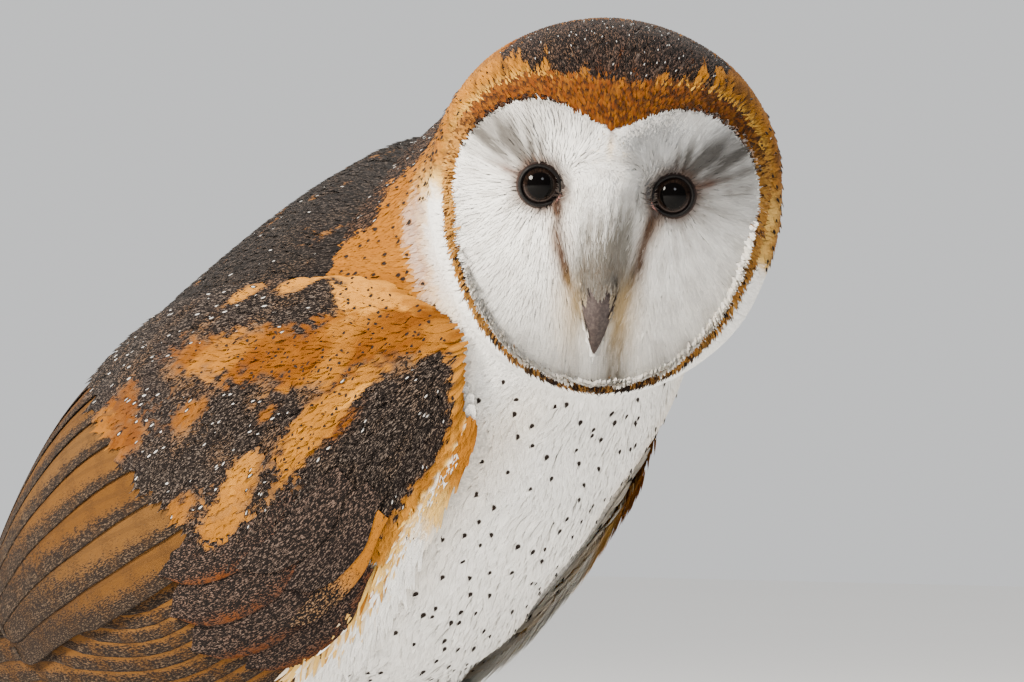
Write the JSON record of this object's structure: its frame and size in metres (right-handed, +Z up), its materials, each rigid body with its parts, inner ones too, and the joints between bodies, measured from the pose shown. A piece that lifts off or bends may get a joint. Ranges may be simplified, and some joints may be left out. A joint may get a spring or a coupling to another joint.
{
  "type": "barn owl",
  "caption": "Life-size still model of a barn owl that stands on both feet, leans forward and looks round to its right.",
  "frame": {"origin": "middle of the owl's bounding box, on the floor under its feet", "axes": "+Z up; +Y from the breast toward the tail; +X toward the bird's own left wing"},
  "size_m": [0.1435, 0.3507, 0.269],
  "materials": {
    "white_plumage": "soft white body feathers with small dark spots",
    "face_plumage": "fine white face feathers with a golden brown rim",
    "gold_plumage": "golden buff feathers with small dark spots",
    "covert_plumage": "dark grey and golden feathers with pale ticks",
    "quills": "smooth buff vanes with brown bars",
    "horn": "pale pinkish horn, slightly glossy",
    "eye": "wet, near black",
    "foot_skin": "scaled skin with sparse bristles",
    "claw_horn": "dark horn, slightly glossy"
  },
  "bodies": {
    "root": {"head": "face_plumage", "neck": "gold_plumage", "trunk": "white_plumage", "tail": "quills", "bill_upper": "horn", "bill_lower": "horn", "eye_left": "eye", "wing_coverts_left": "covert_plumage", "wing_secondaries_left": "quills", "wing_primaries_left": "quills", "thigh_left": "white_plumage", "tarsus_left": "white_plumage", "foot_left": "foot_skin", "claw_front_left": "claw_horn", "claw_inner_left": "claw_horn", "claw_outer_left": "claw_horn", "claw_hind_left": "claw_horn", "eye_right": "eye", "wing_coverts_right": "covert_plumage", "wing_secondaries_right": "quills", "wing_primaries_right": "quills", "thigh_right": "white_plumage", "tarsus_right": "white_plumage", "foot_right": "foot_skin", "claw_front_right": "claw_horn", "claw_inner_right": "claw_horn", "claw_outer_right": "claw_horn", "claw_hind_right": "claw_horn"}
  },
  "joints": []
}
